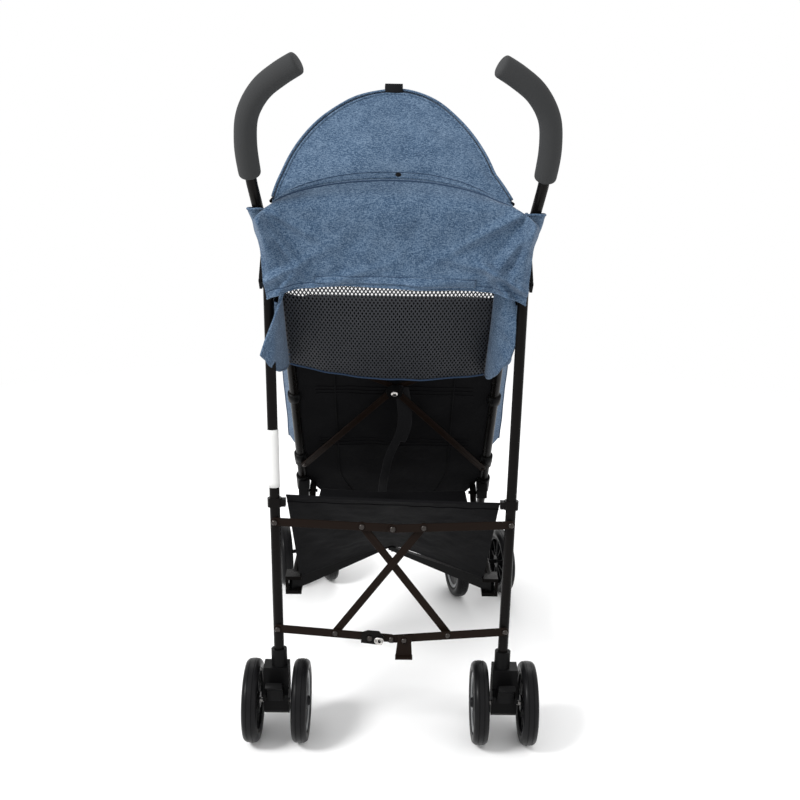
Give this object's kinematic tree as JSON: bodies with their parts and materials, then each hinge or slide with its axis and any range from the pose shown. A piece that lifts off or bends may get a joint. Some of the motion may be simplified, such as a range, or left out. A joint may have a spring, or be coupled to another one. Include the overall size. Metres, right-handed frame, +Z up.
{
  "type": "baby stroller",
  "caption": "Folding umbrella stroller with curved push handles, fabric seat, sun canopy, storage basket, hinged cross bars and paired swivel wheels.",
  "frame": {"origin": "on the floor, under the middle of the bounding box", "axes": "+Z up, +Y the direction of travel, +X to the right when pushing"},
  "size_m": [0.5042, 0.7489, 1.058],
  "materials": {
    "painted": "gloss black enamel",
    "bar_steel": "dark brown enamel",
    "steel": "bright zinc",
    "foam": "dark grey closed-cell foam",
    "plastic": "black moulded plastic",
    "tyre": "dark grey",
    "hub": "dark grey moulded plastic",
    "blue_fabric": "mottled blue woven polyester",
    "black_fabric": "black woven polyester",
    "mesh": "dark knitted mesh"
  },
  "bodies": {
    "frame_left": {"main_tube_left": "painted", "grip_left": "foam", "leg_bracket_left": "plastic", "rail_bracket_left": "plastic", "caster_housing_left": "plastic", "seat_back": "black_fabric", "mesh_panel": "mesh", "canopy_rear": "blue_fabric"},
    "frame_right": {"main_tube_right": "painted", "grip_right": "foam", "leg_bracket_right": "plastic", "rail_bracket_right": "plastic", "caster_housing_right": "plastic"},
    "canopy": {"canopy_front": "blue_fabric", "canopy_bow": "painted"},
    "leg_left": {"rear_leg_left": "painted", "rear_housing_left": "plastic", "rear_axle_left": "steel"},
    "leg_right": {"rear_leg_right": "painted", "rear_housing_right": "plastic", "rear_axle_right": "steel"},
    "lower_left": {"lower_bar_left": "bar_steel"},
    "lower_right": {"lower_bar_right": "bar_steel"},
    "upper_left": {"upper_bar_left": "bar_steel"},
    "upper_right": {"upper_bar_right": "bar_steel"},
    "strut_left": {"cross_strut_left": "bar_steel"},
    "strut_right": {"cross_strut_right": "bar_steel"},
    "lock": {"lock_plate": "painted"},
    "pedal": {"fold_pedal": "bar_steel"},
    "brake_left": {"brake_pedal_left": "plastic"},
    "brake_right": {"brake_pedal_right": "plastic"},
    "rail_left": {"side_rail_left": "painted", "seat_base": "black_fabric"},
    "rail_right": {"side_rail_right": "painted"},
    "basket_bar_left": {"basket_bar_left": "plastic"},
    "basket_bar_right": {"basket_bar_right": "plastic"},
    "basket": {"basket": "black_fabric"},
    "brace_hub": {"brace_hub": "plastic"},
    "brace_upper_left": {"brace_arm_upper_left": "bar_steel"},
    "brace_upper_right": {"brace_arm_upper_right": "bar_steel"},
    "brace_lower_left": {"brace_arm_lower_left": "bar_steel"},
    "brace_lower_right": {"brace_arm_lower_right": "bar_steel"},
    "caster_left": {"caster_fork_left": "plastic"},
    "caster_right": {"caster_fork_right": "plastic"},
    "rear_left_outer_wheel": {"rear_left_outer_wheel_tyre": "tyre", "rear_left_outer_wheel_hub": "hub"},
    "rear_left_inner_wheel": {"rear_left_inner_wheel_tyre": "tyre", "rear_left_inner_wheel_hub": "hub"},
    "front_left_a_wheel": {"front_left_a_wheel_tyre": "tyre", "front_left_a_wheel_hub": "hub"},
    "front_left_b_wheel": {"front_left_b_wheel_tyre": "tyre", "front_left_b_wheel_hub": "hub"},
    "rear_right_outer_wheel": {"rear_right_outer_wheel_tyre": "tyre", "rear_right_outer_wheel_hub": "hub"},
    "rear_right_inner_wheel": {"rear_right_inner_wheel_tyre": "tyre", "rear_right_inner_wheel_hub": "hub"},
    "front_right_a_wheel": {"front_right_a_wheel_tyre": "tyre", "front_right_a_wheel_hub": "hub"},
    "front_right_b_wheel": {"front_right_b_wheel_tyre": "tyre", "front_right_b_wheel_hub": "hub"}
  },
  "joints": [
    {"name": "fold", "type": "hinge", "parent": "frame_left", "child": "leg_left", "pos_m": [-0.191, -0.2048, 0.735], "axis": [1, 0, 0], "range_deg": [0, 30], "deforming": ["seat_base", "seat_back", "mesh_panel", "canopy_rear", "canopy_front", "canopy_bow", "basket"]},
    {"name": "lower_left_turn", "type": "hinge", "parent": "leg_left", "child": "lower_left", "pos_m": [-0.1785, -0.26638, 0.1945], "axis": [0, -0.9936, 0.1132], "range_deg": [-0.5, 65.95]},
    {"name": "centre_turn", "type": "hinge", "parent": "lower_left", "child": "lower_right", "pos_m": [0, -0.26797, 0.18054], "axis": [0, -0.9936, 0.1132], "range_deg": [-131.91, 0.5]},
    {"name": "lower_right_turn", "type": "hinge", "parent": "lower_right", "child": "leg_right", "pos_m": [0.1785, -0.26638, 0.1945], "axis": [0, -0.9936, 0.1132], "range_deg": [-0.5, 65.95]},
    {"name": "fold_right", "type": "hinge", "parent": "leg_right", "child": "frame_right", "pos_m": [0.191, -0.2048, 0.735], "axis": [1, 0, 0], "range_deg": [-30.3, 0.5]},
    {"name": "upper_left_turn", "type": "hinge", "parent": "leg_left", "child": "upper_left", "pos_m": [-0.1825, -0.24668, 0.36738], "axis": [0, -0.9936, 0.1132], "range_deg": [-0.5, 63.12]},
    {"name": "upper_right_turn", "type": "hinge", "parent": "leg_right", "child": "upper_right", "pos_m": [0.1825, -0.24668, 0.36738], "axis": [0, -0.9936, 0.1132], "range_deg": [-63.12, 0.5]},
    {"name": "strut_left_turn", "type": "hinge", "parent": "upper_left", "child": "strut_left", "pos_m": [-0.04795, -0.24735, 0.36155], "axis": [0, -0.9936, 0.1132], "range_deg": [-83.64, 0.5]},
    {"name": "strut_right_turn", "type": "hinge", "parent": "upper_right", "child": "strut_right", "pos_m": [0.04795, -0.24735, 0.36155], "axis": [0, -0.9936, 0.1132], "range_deg": [-0.5, 83.64]},
    {"name": "rail_left_turn", "type": "hinge", "parent": "frame_left", "child": "rail_left", "pos_m": [-0.153, 0.1242, 0.271], "axis": [1, 0, 0], "range_deg": [-75.75, 0.5]},
    {"name": "rail_right_turn", "type": "hinge", "parent": "frame_right", "child": "rail_right", "pos_m": [0.153, 0.1242, 0.271], "axis": [1, 0, 0], "range_deg": [-75.75, 0.5]},
    {"name": "basket_bar_left_turn", "type": "hinge", "parent": "rail_left", "child": "basket_bar_left", "pos_m": [-0.173, -0.0528, 0.165], "axis": [0, 0, 1], "range_deg": [-0.5, 26.94]},
    {"name": "basket_bar_right_turn", "type": "hinge", "parent": "rail_right", "child": "basket_bar_right", "pos_m": [0.173, -0.0528, 0.165], "axis": [0, 0, 1], "range_deg": [-26.94, 0.5]},
    {"name": "basket_turn", "type": "hinge", "parent": "frame_left", "child": "basket", "pos_m": [-0.15, 0.1022, 0.285], "axis": [1, 0, 0], "range_deg": [-40.4, 0.5]},
    {"name": "brace_lower_left_turn", "type": "hinge", "parent": "frame_left", "child": "brace_lower_left", "pos_m": [-0.165, 0.09971, 0.345], "axis": [0, -0.8192, -0.5736], "range_deg": [-0.5, 20.89]},
    {"name": "brace_hub_turn", "type": "hinge", "parent": "brace_lower_left", "child": "brace_hub", "pos_m": [0, -0.03106, 0.53177], "axis": [0, -0.8192, -0.5736], "range_deg": [-20.89, 0.5]},
    {"name": "brace_lower_right_turn", "type": "hinge", "parent": "brace_hub", "child": "brace_lower_right", "pos_m": [0, -0.03106, 0.53177], "axis": [0, -0.8192, -0.5736], "range_deg": [-20.89, 0.5]},
    {"name": "brace_upper_left_turn", "type": "hinge", "parent": "brace_hub", "child": "brace_upper_left", "pos_m": [0, -0.03106, 0.53177], "axis": [0, -0.8192, -0.5736], "range_deg": [-37.22, 0.5]},
    {"name": "brace_upper_right_turn", "type": "hinge", "parent": "brace_hub", "child": "brace_upper_right", "pos_m": [0, -0.03106, 0.53177], "axis": [0, -0.8192, -0.5736], "range_deg": [-0.5, 37.22]},
    {"name": "lock_turn", "type": "hinge", "parent": "lower_left", "child": "lock", "pos_m": [-0.0339, -0.26767, 0.18319], "axis": [0, -0.9936, 0.1132], "range_deg": [0, 12]},
    {"name": "pedal_turn", "type": "hinge", "parent": "lower_right", "child": "pedal", "pos_m": [0.01994, -0.2678, 0.1821], "axis": [0, -0.9936, 0.1132], "range_deg": [-14, 0]},
    {"name": "canopy_fold", "type": "hinge", "parent": "frame_left", "child": "canopy", "pos_m": [0, -0.2558, 0.853], "axis": [1, 0, 0], "range_deg": [0, 50]},
    {"name": "brake_left_press", "type": "hinge", "parent": "leg_left", "child": "brake_left", "pos_m": [-0.1815, -0.2988, 0.088], "axis": [1, 0, 0], "range_deg": [0, 22]},
    {"name": "rear_left_outer_wheel_spin", "type": "hinge", "parent": "leg_left", "child": "rear_left_outer_wheel", "pos_m": [-0.22, -0.2738, 0.066], "axis": [1, 0, 0], "continuous": true},
    {"name": "rear_left_inner_wheel_spin", "type": "hinge", "parent": "leg_left", "child": "rear_left_inner_wheel", "pos_m": [-0.143, -0.2738, 0.066], "axis": [1, 0, 0], "continuous": true},
    {"name": "caster_left_swivel", "type": "hinge", "parent": "frame_left", "child": "caster_left", "pos_m": [-0.175, 0.2742, 0.066], "axis": [0, 0, 1], "continuous": true},
    {"name": "front_left_a_wheel_spin", "type": "hinge", "parent": "caster_left", "child": "front_left_a_wheel", "pos_m": [-0.13325, 0.30863, 0.066], "axis": [-0.9781, -0.2079, 0], "continuous": true},
    {"name": "front_left_b_wheel_spin", "type": "hinge", "parent": "caster_left", "child": "front_left_b_wheel", "pos_m": [-0.22715, 0.28867, 0.066], "axis": [-0.9781, -0.2079, 0], "continuous": true},
    {"name": "brake_right_press", "type": "hinge", "parent": "leg_right", "child": "brake_right", "pos_m": [0.1815, -0.2988, 0.088], "axis": [1, 0, 0], "range_deg": [0, 22]},
    {"name": "rear_right_outer_wheel_spin", "type": "hinge", "parent": "leg_right", "child": "rear_right_outer_wheel", "pos_m": [0.22, -0.2738, 0.066], "axis": [1, 0, 0], "continuous": true},
    {"name": "rear_right_inner_wheel_spin", "type": "hinge", "parent": "leg_right", "child": "rear_right_inner_wheel", "pos_m": [0.143, -0.2738, 0.066], "axis": [1, 0, 0], "continuous": true},
    {"name": "caster_right_swivel", "type": "hinge", "parent": "frame_right", "child": "caster_right", "pos_m": [0.175, 0.2742, 0.066], "axis": [0, 0, 1], "continuous": true},
    {"name": "front_right_a_wheel_spin", "type": "hinge", "parent": "caster_right", "child": "front_right_a_wheel", "pos_m": [0.13325, 0.23977, 0.066], "axis": [0.9781, 0.2079, 0], "continuous": true},
    {"name": "front_right_b_wheel_spin", "type": "hinge", "parent": "caster_right", "child": "front_right_b_wheel", "pos_m": [0.22715, 0.25973, 0.066], "axis": [0.9781, 0.2079, 0], "continuous": true}
  ],
  "couplings": [
    {"joint": "lower_left_turn", "follows": "fold", "ratio": 2.1767},
    {"joint": "centre_turn", "follows": "fold", "ratio": -4.3534},
    {"joint": "lower_right_turn", "follows": "fold", "ratio": 2.1767},
    {"joint": "fold_right", "follows": "fold", "ratio": -1},
    {"joint": "upper_left_turn", "follows": "fold", "ratio": 2.0831},
    {"joint": "upper_right_turn", "follows": "fold", "ratio": -2.0831},
    {"joint": "strut_left_turn", "follows": "fold", "ratio": -2.7605},
    {"joint": "strut_right_turn", "follows": "fold", "ratio": 2.7605},
    {"joint": "rail_left_turn", "follows": "fold", "ratio": -2.5},
    {"joint": "rail_right_turn", "follows": "fold", "ratio": -2.5},
    {"joint": "basket_bar_left_turn", "follows": "fold", "ratio": 0.8892},
    {"joint": "basket_bar_right_turn", "follows": "fold", "ratio": -0.8892},
    {"joint": "basket_turn", "follows": "fold", "ratio": -1.3333},
    {"joint": "brace_lower_left_turn", "follows": "fold", "ratio": 0.6893},
    {"joint": "brace_hub_turn", "follows": "fold", "ratio": -0.6893},
    {"joint": "brace_lower_right_turn", "follows": "fold", "ratio": -0.6893},
    {"joint": "brace_upper_left_turn", "follows": "fold", "ratio": -1.2284},
    {"joint": "brace_upper_right_turn", "follows": "fold", "ratio": 1.2284}
  ]
}
